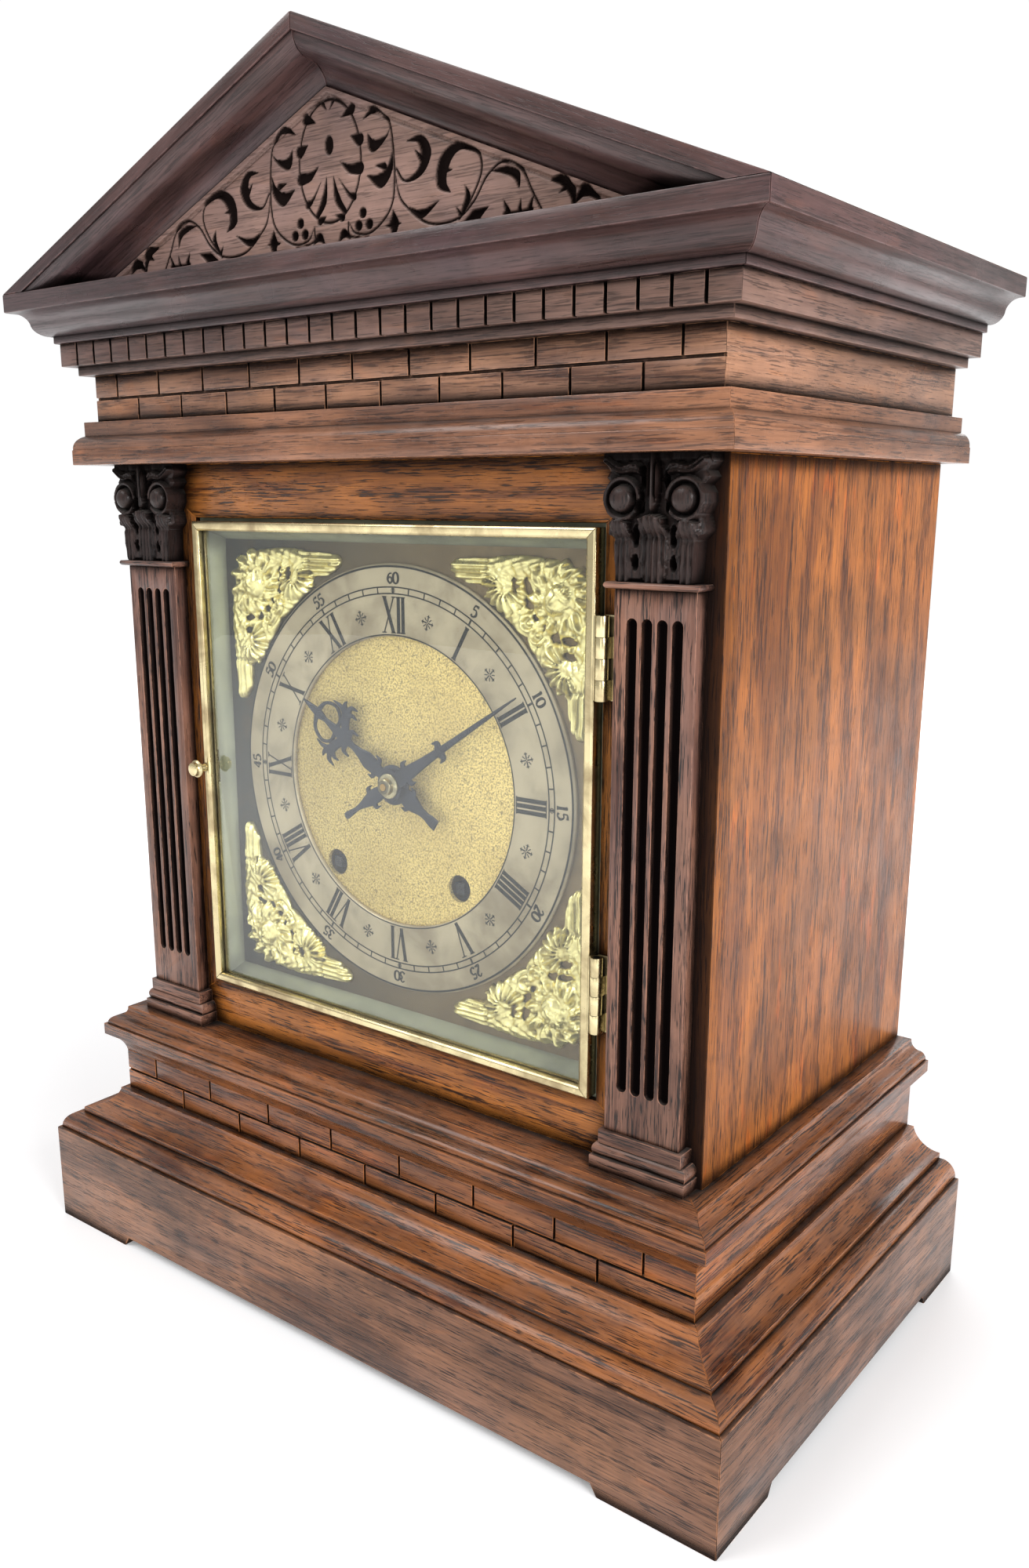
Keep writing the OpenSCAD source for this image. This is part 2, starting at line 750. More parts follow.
module pilaster_shafts() {
    x = half_w - pilaster_in;
    z0 = case_z + pilaster_base_h;
    z1 = architrave_z - capital_h - necking_h;
    front = case_d + shaft_t;
    color(dark_oak) from_back() pair() difference() {
        block(x - shaft_w / 2, x + shaft_w / 2, case_d, front, z0, z1);
        for (k = [-1.5:1:1.5]) translate([x + k * flute_pitch, -front, 0]) {
            translate([0, 0, z0 + 19]) cylinder(h = z1 - z0 - 31, r = flute_r);
            translate([0, 0, z0 + 19]) sphere(r = flute_r);
            translate([0, 0, z1 - 12]) sphere(r = flute_r);
        }
    }
}

module pilaster_bases() {
    x = half_w - pilaster_in;
    half = shaft_w / 2;
    z1 = case_z + 5;
    z2 = z1 + 5;
    top = case_z + pilaster_base_h;
    color(dark_oak) from_back() pair() translate([x, 0, 0]) {
        block(-half - 4.5, half + 4.5, case_d, case_d + 9.8, case_z, z1);
        intersection() {
            facing(case_d, case_d + 9) polygon(concat([[-half - 3.6, z1]],
                arc([-half - 3.6, z1], [-half - 2.6, z2], 1.1),
                [[half + 2.6, z2]], arc([half + 2.6, z2], [half + 3.6, z1], 1.1)));
            along_x(-half - 6, half + 6) polygon(concat([[case_d, z1], [case_d + 7.9, z1]],
                arc([case_d + 7.9, z1], [case_d + 6.9, z2], -1.1), [[case_d, z2]]));
        }
        block(-half - 1.8, half + 1.8, case_d, case_d + 7.8, z2, top);
    }
}

module pilaster_neckings() {
    x = half_w - pilaster_in;
    half = shaft_w / 2 + 2.6;
    z0 = architrave_z - capital_h - necking_h;
    z1 = architrave_z - capital_h;
    front = case_d + shaft_t + 2.6;
    color(dark_oak) from_back() pair() translate([x, 0, 0]) intersection() {
        along_x(-half, half) polygon(concat([[case_d, z0], [front, z0]], arc([front, z0], [front, z1], -0.9),
            [[case_d, z1]]));
        facing(case_d, front + 2) polygon(concat([[0.9 - half, z0]],
            arc([0.9 - half, z0], [0.9 - half, z1], 0.9), arc([half - 0.9, z1], [half - 0.9, z0], 0.9)));
    }
}

// One acanthus leaf: an upright pointed outline with three lobes on each side
module leaf(w, h, t) {
    facing(0, t) polygon(concat([[-w * 0.3, 0]],
        arc([-w * 0.3, 0], [-w * 0.42, h * 0.36], 0.9, 4),
        arc([-w * 0.42, h * 0.36], [-w * 0.5, h * 0.7], 0.9, 4),
        arc([-w * 0.5, h * 0.7], [0, h], 1.2, 5),
        arc([0, h], [w * 0.5, h * 0.7], 1.2, 5),
        arc([w * 0.5, h * 0.7], [w * 0.42, h * 0.36], 0.9, 4),
        arc([w * 0.42, h * 0.36], [w * 0.3, 0], 0.9, 4)));
}

module pilaster_capitals() {
    x = half_w - pilaster_in;
    z0 = architrave_z - capital_h;
    foot = capital_foot_w / 2;
    top = capital_top_w / 2;
    abacus_h = 5;
    volute_x = 12;
    volute_z = architrave_z - 15;
    bell_t = shaft_t + 1;
    color(ebonised) from_back() pair() translate([x, 0, 0]) {
        facing(case_d, case_d + bell_t) polygon(concat([[-foot, z0]],
            arc([-foot, z0], [-top + 3, architrave_z - abacus_h], -2.5),
            [[-top, architrave_z - abacus_h], [-top, architrave_z], [top, architrave_z],
                [top, architrave_z - abacus_h]],
            arc([top - 3, architrave_z - abacus_h], [foot, z0], -2.5)));
        block(-top, top, case_d, case_d + bell_t + 3.5, architrave_z - abacus_h, architrave_z);
        for (side = [-1, 1]) {
            rod([side * volute_x, volute_z], case_d, case_d + bell_t + 2.5, volute_r * 2);
            rod([side * volute_x, volute_z], case_d, case_d + bell_t + 4.5, volute_r);
        }
        for (k = [-1:1]) translate([k * foot * 0.66, -case_d - bell_t + 1, z0]) leaf(10, 19, 3.2);
        translate([0, -case_d - bell_t + 1, z0 + 16]) leaf(9, 20, 2.6);
    }
}

module architrave() {
    z1 = architrave_z + fascia_h;
    z2 = z1 + fascia_ovolo_h;
    color(oak) from_back() course(fascia_out) polygon(concat([[-course_in, architrave_z],
        [fascia_out, architrave_z], [fascia_out, z1], [fascia_out - 0.3, z1]],
        arc([fascia_out - 0.3, z1], [fascia_top_out, z2], -1.3),
        [[fascia_top_out, upper_frieze_z], [-course_in, upper_frieze_z]]));
}

module upper_frieze() {
    color(oak) from_back() difference() {
        course(upper_frieze_out) polygon([[-course_in, upper_frieze_z], [upper_frieze_out, upper_frieze_z],
            [upper_frieze_out, band_z], [-course_in, band_z]]);
        brick_joints(upper_frieze_z, band_z, upper_frieze_out, upper_brick, 0.5);
    }
}

module dentil_course() {
    face = line_d + dentil_out;
    color(oak) from_back() difference() {
        course(dentil_out) polygon([[-course_in, band_z], [band_out, band_z], [band_out, dentil_z],
            [dentil_out, dentil_z], [dentil_out, cornice_z], [-course_in, cornice_z]]);
        for (k = [-16:16])
            if (abs(k * dentil_pitch) < line_half + dentil_out - dentil_pitch / 2)
                block(k * dentil_pitch - dentil_gap / 2, k * dentil_pitch + dentil_gap / 2,
                    face - dentil_deep, face + 1, dentil_z - 1, cornice_z + 1);
    }
}

module cornice() {
    z1 = cornice_z + cornice_foot_h;
    z2 = z1 + cyma_low_h;
    z3 = z2 + cyma_high_h;
    color(oak) from_back() course(cornice_out) polygon(concat([[-course_in, cornice_z],
        [cornice_foot_out, cornice_z], [cornice_foot_out, z1]],
        arc([cornice_foot_out, z1], [cyma_mid_out, z2], -1.4),
        arc([cyma_mid_out, z2], [cyma_top_out, z3], 1.4),
        [[cornice_out, z3], [cornice_out, pediment_z], [-course_in, pediment_z]]));
}

// Half a triangle under the slope, lowered by drop
module gable(drop, foot = 0) {
    half = (pediment_h - drop - foot) / rake_slope;
    polygon([[-half, pediment_z + foot], [half, pediment_z + foot], [0, apex_z - drop]]);
}

// One gouge cut: a curved, pointed groove from a to b
module gouge(a, b, s, w) {
    polygon(concat([a], arc(a, b, s + w / 2, 6), arc(b, a, -s + w / 2, 6)));
}

// Half width and height of the tympanum that the foliage was drawn for
foliage_half = 135.86;
foliage_tall = 55.3;

// Carved foliage on half of the tympanum, as gouge cuts from its middle foot outwards
module foliage() {
    gouge([20, 4], [46, 8], 5, 2.2);
    gouge([50, 10], [69, 14], -5, 2);
    gouge([73, 14], [98, 8], 6, 2);
    gouge([20, 14], [30, 31], -4, 2.6);
    gouge([27, 35], [17, 36], 3, 3.4);
    gouge([38, 17], [44, 26], 2, 3.2);
    gouge([42, 31], [36, 34], 2, 3);
    gouge([56, 18], [60, 28], -2, 3);
    gouge([57, 32], [50, 31], 2, 2.6);
    gouge([60, 5], [74, 4], -2, 2.4);
    gouge([80, 8], [88, 7], 1.5, 2.6);
}

module tympanum() {
    back = cornice_d - rake_out - tympanum_t;
    front = back + tympanum_t;
    tall = pediment_h - rake_h;
    flower_z = pediment_z + tall / 2 - 0.65;
    color(oak) from_back() difference() {
        facing(back, front) gable(rake_h);
        facing(front - carving_deep, front + 1) {
            translate([0, pediment_z]) scale([tall / rake_slope / foliage_half, tall / foliage_tall])
                pair_flat() foliage();
            for (k = [0:7]) translate([0, flower_z]) rotate(22.5 + k * 45) gouge([5, 0], [12, 0], 0.4, 3.4);
            translate([0, flower_z]) circle(r = 3);
        }
    }
}

// Left and right copies of a flat outline
module pair_flat() {
    children();
    mirror([1, 0]) children();
}

module raking_cornices() {
    back = cornice_d - rake_out - tympanum_t;
    c = cos(rake_angle);
    deep = tympanum_t;
    fillet = rake_fillet * c;
    mid = (rake_fillet + rake_h) / 2 * c;
    low = rake_h * c;
    run = cornice_half * 1.3;
    color(oak) from_back() pair() intersection() {
        translate([0, 0, apex_z]) rotate([0, rake_angle, 0]) along_x(-30, run)
            polygon(concat([[back, 0], [cornice_d, 0], [cornice_d, -fillet], [cornice_d - 1, -fillet]],
                arc([cornice_d - 1, -fillet], [back + deep + rake_out / 2, -mid], 2.2),
                arc([back + deep + rake_out / 2, -mid], [back + deep, -low], -1.8),
                [[back, -low]]));
        facing(back - 1, cornice_d + 1) polygon([[glue, pediment_z], [cornice_half, pediment_z],
            [cornice_half, apex_z + 1], [glue, apex_z + 1]]);
    }
}

module roof_boards() {
    back = cornice_d - rake_out - tympanum_t;
    color(dark_oak) from_back() pair() facing(0, back) polygon([[glue, apex_z - glue * rake_slope],
        [cornice_half, pediment_z], [cornice_half - roof_t / rake_slope, pediment_z],
        [glue, apex_z - roof_t - glue * rake_slope]]);
}

module back_frame() {
    color(dark_oak) from_back() {
        mitred_boards(inner_half, case_z, architrave_z, rear_half, rear_z, rear_top, 0, back_t);
        facing(0, back_t) gable(roof_t);
        block(-board_half, board_half, 0, back_t, base_z, case_z - board_t);
        block(-board_half, board_half, 0, back_t, architrave_z, pediment_z - board_t);
    }
}

module door_frame() {
    color(brass) from_back() difference() {
        mitred_section(door_half, door_z, door_top, door_rail)
            polygon([[0, door_back], [door_web, door_back], [door_web, door_front - lip_t],
                [door_rail, door_front - lip_t], [door_rail, door_front - 0.6],
                [door_rail - 0.9, door_front], [0.9, door_front], [0, door_front - 0.6]]);
        rod([-knob_x, knob_z], door_back - 1, door_front + 1, shank_r + run_gap);
    }
}

// Wedge that tapers towards the front, as half width against depth
function bevelled(half) = [[-half, glass_back], [half, glass_back], [half, glass_back + glass_edge],
    [half - glass_bevel, glass_back + glass_t], [glass_bevel - half, glass_back + glass_t],
    [-half, glass_back + glass_edge]];

module door_glass() {
    mid = (glass_z + glass_top) / 2;
    tall = (glass_top - glass_z) / 2;
    color(clear_glass) from_back() translate([0, 0, mid]) intersection() {
        plan(-tall, tall) polygon(bevelled(glass_half));
        along_x(-glass_half, glass_half) polygon([for (p = bevelled(tall)) [p[1], p[0]]]);
    }
}

module glass_beads() {
    width = door_rail - door_web - 0.05;
    half = door_half - door_web - 0.05;
    z0 = door_z + door_web + 0.05;
    z1 = door_top - door_web - 0.05;
    color(brass) from_back() mitred_section(half, z0, z1, width) polygon([[0, door_back], [width, door_back],
        [width, door_back + 1.2], [width - 0.3, door_back + 1.5], [0, door_back + 1.5]]);
}

module fixed_hinge_leaves() {
    color(brass) from_back() {
        for (z = hinge_zs) {
            knuckle_set(hinge_x, hinge_d, z, 0, barrel_r);
            difference() {
                knuckle_web(hinge_x, hinge_x + barrel_r, case_d + leaf_t, hinge_d, z, 0);
                post(hinge_x, hinge_d, z - hinge_h, z + hinge_h, pin_r + run_gap);
            }
            block(open_half + 0.3, hinge_x + 6, case_d, case_d + leaf_t, z - hinge_h / 2, z + hinge_h / 2);
        }
        for (z = rear_hinge_zs) {
            knuckle_set(rear_hinge_x, rear_hinge_d, z, 0, rear_hinge_r);
            difference() {
                knuckle_web(rear_hinge_x, rear_hinge_x + rear_hinge_r, rear_hinge_d, -leaf_t, z, 0);
                post(rear_hinge_x, rear_hinge_d, z - hinge_h, z + hinge_h, pin_r + run_gap);
            }
            block(rear_half + 0.5, rear_hinge_x + 12, -leaf_t, 0, z - hinge_h / 2, z + hinge_h / 2);
        }
    }
}

module door_hinge_leaves() {
    color(brass) from_back() for (z = hinge_zs) {
        knuckle_set(hinge_x, hinge_d, z, 1, barrel_r);
        difference() {
            knuckle_web(door_half + edge_leaf_t / 2, hinge_x, hinge_d - 0.6, hinge_d + 0.6, z, 1);
            post(hinge_x, hinge_d, z - hinge_h, z + hinge_h, pin_r + run_gap);
        }
        block(door_half, door_half + edge_leaf_t, door_back + 0.8, hinge_d + 0.8,
            z - hinge_h / 2 + knuckle_gap, z + hinge_h / 2 - knuckle_gap);
    }
}

module hinge_pins() {
    color(steel) from_back() {
        for (z = hinge_zs)
            post(hinge_x, hinge_d, z - hinge_h / 2, z + hinge_h / 2, pin_r);
        for (z = rear_hinge_zs)
            post(rear_hinge_x, rear_hinge_d, z - hinge_h / 2, z + hinge_h / 2, pin_r);
    }
}

module door_knob() {
    back = surround_front - tongue_gap - tongue_t + 0.4;
    color(brass) from_back() {
        rod([-knob_x, knob_z], back, door_front + 2, shank_r);
        translate([-knob_x, -door_front - 0.2, knob_z]) rotate([90, 0, 0]) rotate_extrude()
            polygon(concat([[0, 0], [knob_r * 0.45, 0], [knob_r * 0.4, 3.2]],
                arc([knob_r * 0.4, 3.2], [knob_r, 5], -0.5, 4),
                arc([knob_r, 5], [knob_r * 0.75, 7.2], 0.6, 4), [[0, 7.6]]));
        block(-knob_x - tongue_w / 2, -knob_x + tongue_w / 2, back, back + tongue_t,
            knob_z - tongue_len, knob_z + tongue_w / 2);
    }
}

// Splayed sight opening of the surround, as half width against depth
function splay(back, front) = [[-back, dial_front - 1], [back, dial_front - 1], [back, dial_front],
    [front, surround_front], [front, surround_front + 1], [-front, surround_front + 1],
    [-front, surround_front], [-back, dial_front]];

module dial_surround() {
    gap = 0.1;
    color(silvered) from_back() difference() {
        block(-open_half + gap, open_half - gap, dial_front, surround_front, open_z + gap, open_top - gap);
        translate([0, 0, sight_z]) intersection() {
            plan(-reveal_tall, reveal_tall) polygon(splay(sight_half, reveal_half));
            along_x(-open_half, open_half)
                polygon([for (p = splay(sight_tall, reveal_tall)) [p[1], p[0]]]);
        }
        block(-open_half - 1, -knob_x + tongue_w, surround_front - tongue_gap - tongue_t - 1,
            surround_front + 1, knob_z - tongue_len - 1.5, knob_z + tongue_len + 1.5);
    }
}

module rear_door_frame() {
    front = rear_t - rear_proud;
    half = rear_half - rear_gap;
    color(dark_oak) from_back() difference() {
        mitred_boards(half, rear_z + rear_gap, rear_top - rear_gap, half - rear_rail,
            rear_z + rear_gap + rear_rail, rear_top - rear_gap - rear_rail, -rear_proud, front);
        rod([-rear_knob_x, dial_z], -rear_proud - 1, front + 1, 1.5 + run_gap);
    }
}

module rear_door_fret() {
    half = rear_half - rear_gap - rear_rail - glue;
    z0 = rear_z + rear_gap + rear_rail + glue;
    z1 = rear_top - rear_gap - rear_rail - glue;
    mid = (z0 + z1) / 2;
    tall = (z1 - z0) / 2;
    nx = floor((half - 6) / fret_pitch);
    nz = floor((tall - 6) / fret_pitch);
    color(dark_oak) from_back() facing(2, 5) translate([0, mid]) difference() {
        square([2 * half, 2 * tall], center = true);
        for (i = [-nx:nx])
            for (j = [-nz:nz])
                translate([i, j] * fret_pitch)
                    if ((i + j) % 2 == 0)
                        circle(r = fret_pitch * 0.36);
                    else
                        rotate(45) square(fret_pitch * 0.46, center = true);
    }
}

module rear_hinge_leaves() {
    color(brass) from_back() for (z = rear_hinge_zs) {
        knuckle_set(rear_hinge_x, rear_hinge_d, z, 1, rear_hinge_r);
        difference() {
            knuckle_web(rear_half - rear_gap - 1, rear_hinge_x, -rear_proud - leaf_t - 0.6,
                -rear_proud - 0.05, z, 1);
            post(rear_hinge_x, rear_hinge_d, z - hinge_h, z + hinge_h, rear_hinge_r - 0.2);
        }
        block(rear_half - rear_gap - 14, rear_half - rear_gap - 0.9, -rear_proud - leaf_t, -rear_proud,
            z - hinge_h / 2, z + hinge_h / 2);
    }
}

module rear_knob() {
    inside = back_t + 0.3;
    color(brass) from_back() {
        rod([-rear_knob_x, dial_z], -rear_proud - 2, inside + 1, 1.5);
        translate([-rear_knob_x, rear_proud + 0.3, dial_z]) rotate([-90, 0, 0]) rotate_extrude()
            polygon(concat([[0, 0], [rear_knob_r * 0.5, 0], [rear_knob_r * 0.45, 1.6]],
                arc([rear_knob_r * 0.45, 1.6], [rear_knob_r, 3], -0.4, 4),
                [[rear_knob_r, 4.2], [rear_knob_r * 0.8, rear_knob_t], [0, rear_knob_t]]));
        block(-rear_knob_x - 4, -rear_knob_x + 4, inside, inside + 2, dial_z - 20, dial_z + 4);
    }
}

// Holes for the winding key, round the dial's middle
module winding_holes() {
    for (x = [wind_right, -wind_left]) translate([x, -wind_down]) circle(r = winding_r);
}

module dial_plate() {
    color(brass) from_back() facing(dial_front - dial_t, dial_front) translate([0, dial_z]) difference() {
        square([dial_w, dial_h], center = true);
        circle(r = hour_pipe_r + 0.6);
        winding_holes();
    }
}

module chapter_ring() {
    color(silvered) from_back() translate([0, -dial_front, dial_z]) rotate([90, 0, 0]) difference() {
        rotate_extrude($fn = 96) polygon([[ring_in, 0], [ring_out, 0], [ring_out, ring_t - 0.8],
            [ring_out - 1, ring_t], [ring_in + 0.8, ring_t], [ring_in, ring_t - 0.7]]);
        translate([0, 0, -1]) linear_extrude(ring_t + 2) winding_holes();
    }
}

// Corner ornament drawn from the corner inwards: a head between two leafy scrolls
module spandrel(across, up) {
    arm = 70;
    leaf_t = 1.8;
    facing(dial_front, dial_front + leaf_t) intersection() {
        union() {
            translate([17, 17]) circle(r = 15);
            for (side = [0, 1]) mirror([side, -side]) {
                translate([31, 9]) circle(r = 9.5);
                translate([43, 6.5]) circle(r = 6.5);
                translate([53, 4.6]) circle(r = 4.6);
                polygon([[40, 1], [60, 0.4], [arm, 1.6], [arm - 1, 3.4], [58, 7.6], [40, 12]]);
                polygon([[6, 6], [34, 2], [34, 16], [18, 22]]);
            }
        }
        difference() {
            square(arm + 2);
            translate([across, up]) circle(r = ring_out + 1);
        }
    }
    intersection() {
        translate([16, -dial_front - 1.2, 16]) sphere(r = 6);
        block(8, 24, dial_front, dial_front + 8, 8, 24);
    }
    for (side = [0, 1]) mirror([side, 0, -side]) {
        translate([30, -dial_front - leaf_t, 9]) rotate([90, 0, 0]) rotate_extrude($fn = 32)
            translate([4.6, 0]) circle(r = 1.3, $fn = 16);
        translate([43, -dial_front - leaf_t, 6.5]) rotate([90, 0, 0]) rotate_extrude($fn = 32)
            translate([3.2, 0]) circle(r = 1.1, $fn = 16);
    }
}

module spandrels() {
    across = sight_half - 2;
    color(gilt) from_back() for (sx = [0, 1]) for (upper = [0, 1]) {
        corner_z = sight_z + (upper ? 1 : -1) * (sight_tall - 0.6);
        mirror([sx, 0, 0]) translate([-across, 0, corner_z]) mirror([0, 0, upper])
            spandrel(across, abs(dial_z - corner_z));
    }
}

// Outlines drawn upright from the dial's middle, turned to a clockwise angle and given a thickness
module turned(angle, d0, t) {
    for (i = [0:$children - 1])
        translate([0, -d0, dial_z]) rotate([90, 0, 0]) rotate([0, 0, -angle]) linear_extrude(t) children(i);
}

module hour_hand() {
    color(blue_steel) from_back() difference() {
        turned(hour_angle, hour_plane, hand_t) {
            circle(r = 8);
            polygon([[-2.6, 4], [-1.6, 16], [-3.4, 24], [-1.4, 30], [1.4, 30], [3.4, 24], [1.6, 16],
                [2.6, 4]]);
            translate([0, 35]) circle(r = 6.4);
            translate([-8.6, 35]) circle(r = 4.4);
            translate([8.6, 35]) circle(r = 4.4);
            translate([-3.5, 43]) circle(r = 2.8);
            translate([3.5, 43]) circle(r = 2.8);
            translate([-4, 28]) circle(r = 2.6);
            translate([4, 28]) circle(r = 2.6);
            polygon([[-2.2, 40], [-1.5, 50], [0, hour_len], [1.5, 50], [2.2, 40]]);
            polygon([[-2.2, -5], [2.2, -5], [1.8, -16], [4.6, -24], [0, -28], [-4.6, -24], [-1.8, -16]]);
        }
        turned(hour_angle, hour_plane - 1, hand_t + 2) {
            circle(r = hour_pipe_r + 0.02);
            translate([0, 35]) circle(r = 2.8);
            translate([-8.8, 35]) circle(r = 1.9);
            translate([8.8, 35]) circle(r = 1.9);
        }
    }
}

module minute_hand() {
    color(blue_steel) from_back() difference() {
        turned(minute_angle, minute_plane, hand_t) {
            circle(r = 6.6);
            polygon([[-3, 4], [-2.2, 14], [-3.2, 22], [-1.4, 31], [-5, 33], [-1.2, 36.5], [0, minute_len],
                [1.2, 36.5], [5, 33], [1.4, 31], [3.2, 22], [2.2, 14], [3, 4]]);
            polygon([[-2.4, -4], [2.4, -4], [1.8, -17], [5, -25], [0, -30.5], [-5, -25], [-1.8, -17]]);
        }
        turned(minute_angle, minute_plane - 1, hand_t + 2) circle(r = cannon_r + 0.02);
    }
}

module hand_nut() {
    back = minute_plane + hand_t;
    color(brass) from_back() translate([0, -back, dial_z]) rotate([90, 0, 0]) rotate_extrude()
        polygon([[pipe_in_r + run_gap, 0], [5.2, 0], [5.2, 0.9], [3.6, 1.4], [3.4, 3.2], [2.8, 3.6],
            [pipe_in_r + run_gap, 3.6]]);
}

// Bore through the plates for an arbor
module plate_bore(at, r) {
    translate(at) circle(r = r);
}

module movement_plates() {
    pinned = [second_at, third_at, escape_at, strike_second_at, pin_at, fly_at];
    cock_z = pivot_z + 3;
    color(brass) from_back() {
        for (front = [0, 1]) {
            d0 = front == 1 ? front_plate_back : back_plate_back;
            facing(d0, d0 + plate_t) difference() {
                polygon([[-plate_half, plate_z], [plate_half, plate_z], [plate_half, plate_top - 8],
                    [plate_half - 8, plate_top], [8 - plate_half, plate_top], [-plate_half, plate_top - 8]]);
                for (at = pinned) plate_bore(at, pivot_r + run_gap);
                plate_bore(centre_at, pipe_in_r + run_gap);
                plate_bore(going_at, winding_arbor_r + run_gap);
                plate_bore(strike_at, winding_arbor_r + run_gap);
                plate_bore([0, pivot_z], arbor_r + run_gap);
                for (side = [-1, 1]) plate_bore([side * hammer_pivot_x, hammer_pivot_z], arbor_r + run_gap);
            }
        }
        rod(minute_at, front_plate_front, front_plate_front + 10, 1.5);
        block(-10, 10, pendulum_d - 6, back_plate_back, cock_z, cock_z + 4);
        block(-6, 6, pendulum_d - 6, pendulum_d - 3.5, pivot_z - 5, cock_z);
        rod([0, pivot_z], pendulum_d - 4, pendulum_d + 3, arbor_r);
    }
}

module plate_pillars() {
    color(brass) from_back() {
        for (x = [-1, 1]) for (z = [plate_z + pillar_low, plate_top - pillar_high])
            rod([x * (plate_half - pillar_in), z], back_plate_front, front_plate_back, pillar_r);
        for (x = [-1, 1]) for (z = [plate_z + pillar_low + 1, plate_top - pillar_high - 1])
            rod([x * (plate_half - pillar_in - 1), z], front_plate_front, dial_front - dial_t, foot_r);
    }
}

module seat_board() {
    color(oak) from_back() block(-inner_half, inner_half, back_plate_back - 1, case_d - frame_t - seat_gap,
        seat_top - seat_t, seat_top);
}

module cannon_pinion() {
    d0 = front_plate_front + 1.2;
    color(steel) from_back() difference() {
        union() {
            pinion(centre_at, cannon_teeth, cannon_mod, 90, d0, d0 + 3);
            rod(centre_at, d0, minute_plane + hand_t, cannon_r);
        }
        rod(centre_at, d0 - 1, minute_plane + 5, pipe_in_r + run_gap);
    }
}

module minute_wheel() {
    d0 = front_plate_front + 1.6;
    color(brass) from_back() difference() {
        union() {
            wheel(minute_at, minute_teeth, cannon_mod, -90, d0, d0 + 2, 0);
            pinion(minute_at, minute_pinion_teeth, hour_mod, -90, d0, d0 + 7);
        }
        rod(minute_at, d0 - 1, d0 + 8, 1.5 + run_gap);
    }
}

module hour_wheel() {
    d0 = front_plate_front + 5.2;
    color(brass) from_back() difference() {
        union() {
            wheel(centre_at, hour_teeth, hour_mod, 90, d0, d0 + 2, 0);
            rod(centre_at, d0, hour_plane + hand_t, hour_pipe_r);
        }
        rod(centre_at, d0 - 1, hour_plane + 5, cannon_r + run_gap);
    }
}

// Spring barrel with its great wheel, bored for the winding arbor
module drum(at, face) {
    d0 = back_plate_front;
    color(brass) from_back() difference() {
        union() {
            rod(at, d0 + drum_from, d0 + drum_to, barrel_drum_r);
            facing(d0 + drum_to - 1, d0 + great_from + wheel_t) translate(at)
                teeth(great_teeth, great_mod, face);
        }
        rod(at, d0 + drum_from - 1, d0 + great_from + 10, winding_arbor_r + run_gap);
    }
}

module going_barrel() {
    drum(going_at, toward(going_at, second_at));
}

module strike_barrel() {
    drum(strike_at, toward(strike_at, strike_second_at));
}

// Winding arbor with its square behind the dial hole
module winder(at) {
    color(steel) from_back() {
        rod(at, back_plate_back, front_plate_front + 2, winding_arbor_r);
        facing(front_plate_front + 1, dial_front - 0.5) translate(at) square(square_w, center = true);
    }
}

module going_arbor() {
    winder(going_at);
}

module strike_arbor() {
    winder(strike_at);
}

// Arbor between the plates with thin pivots in them
module arbor(at) {
    rod(at, back_plate_back, front_plate_front, pivot_r);
    rod(at, back_plate_front + shoulder_gap, front_plate_back - shoulder_gap, arbor_r);
}

// Second arbor of a train: a pinion driven by the great wheel, and a wheel in front
module second(at, driver, driven, mod) {
    d0 = back_plate_front;
    color(brass) from_back() union() {
        arbor(at);
        pinion(at, leaf_teeth, great_mod, toward(at, driver), d0 + great_from - 1.5,
            d0 + great_from + wheel_t + 0.5);
        wheel(at, second_teeth, mod, toward(at, driven), d0 + second_from, d0 + second_from + wheel_t, 0);
    }
}

module second_wheel() {
    second(second_at, going_at, centre_at, second_mod);
}

module strike_wheel() {
    second(strike_second_at, strike_at, pin_at, strike_mod);
}

module centre_wheel() {
    d0 = back_plate_front;
    color(brass) from_back() union() {
        rod(centre_at, back_plate_back, minute_plane + hand_t + 3.8, pipe_in_r);
        pinion(centre_at, leaf_teeth, second_mod, toward(centre_at, second_at), d0 + second_from - 0.5,
            d0 + second_from + wheel_t + 0.5);
        wheel(centre_at, centre_teeth, centre_mod, third_angle, d0 + centre_from,
            d0 + centre_from + wheel_t, 0);
    }
}

module third_wheel() {
    d0 = back_plate_front;
    color(brass) from_back() union() {
        rod(third_at, back_plate_back, front_plate_front, pivot_r);
        pinion(third_at, third_pinion_teeth, centre_mod, third_angle + 180, d0 + centre_from - 0.5,
            d0 + centre_from + wheel_t + 0.5);
        wheel(third_at, third_teeth, third_mod, toward(third_at, escape_at), d0 + third_from,
            d0 + third_from + wheel_t, 0);
    }
}

module escape_wheel() {
    d0 = back_plate_front;
    color(brass) from_back() union() {
        rod(escape_at, back_plate_back, front_plate_front, pivot_r);
        facing(d0 + third_from - 0.5, d0 + third_from + wheel_t + 0.5) translate(escape_at)
            teeth(escape_pinion_teeth, third_mod,
                toward(escape_at, third_at) + 180 / escape_pinion_teeth, 0.5, 0.16);
        facing(d0 + escape_from, d0 + escape_from + wheel_t) translate(escape_at) polygon([
            for (i = [0:escape_teeth - 1]) for (p = [[0.82, 0], [1, 0.55], [1, 0.62], [0.84, 0.75]])
                escape_r * p[0] * heading((i + p[1]) * 360 / escape_teeth)]);
    }
}

// Place round the escape wheel, clear of its teeth, at an angle from the upright
function off_wheel(angle, more) = escape_at + (escape_r + 1 + more) * heading(90 - angle);

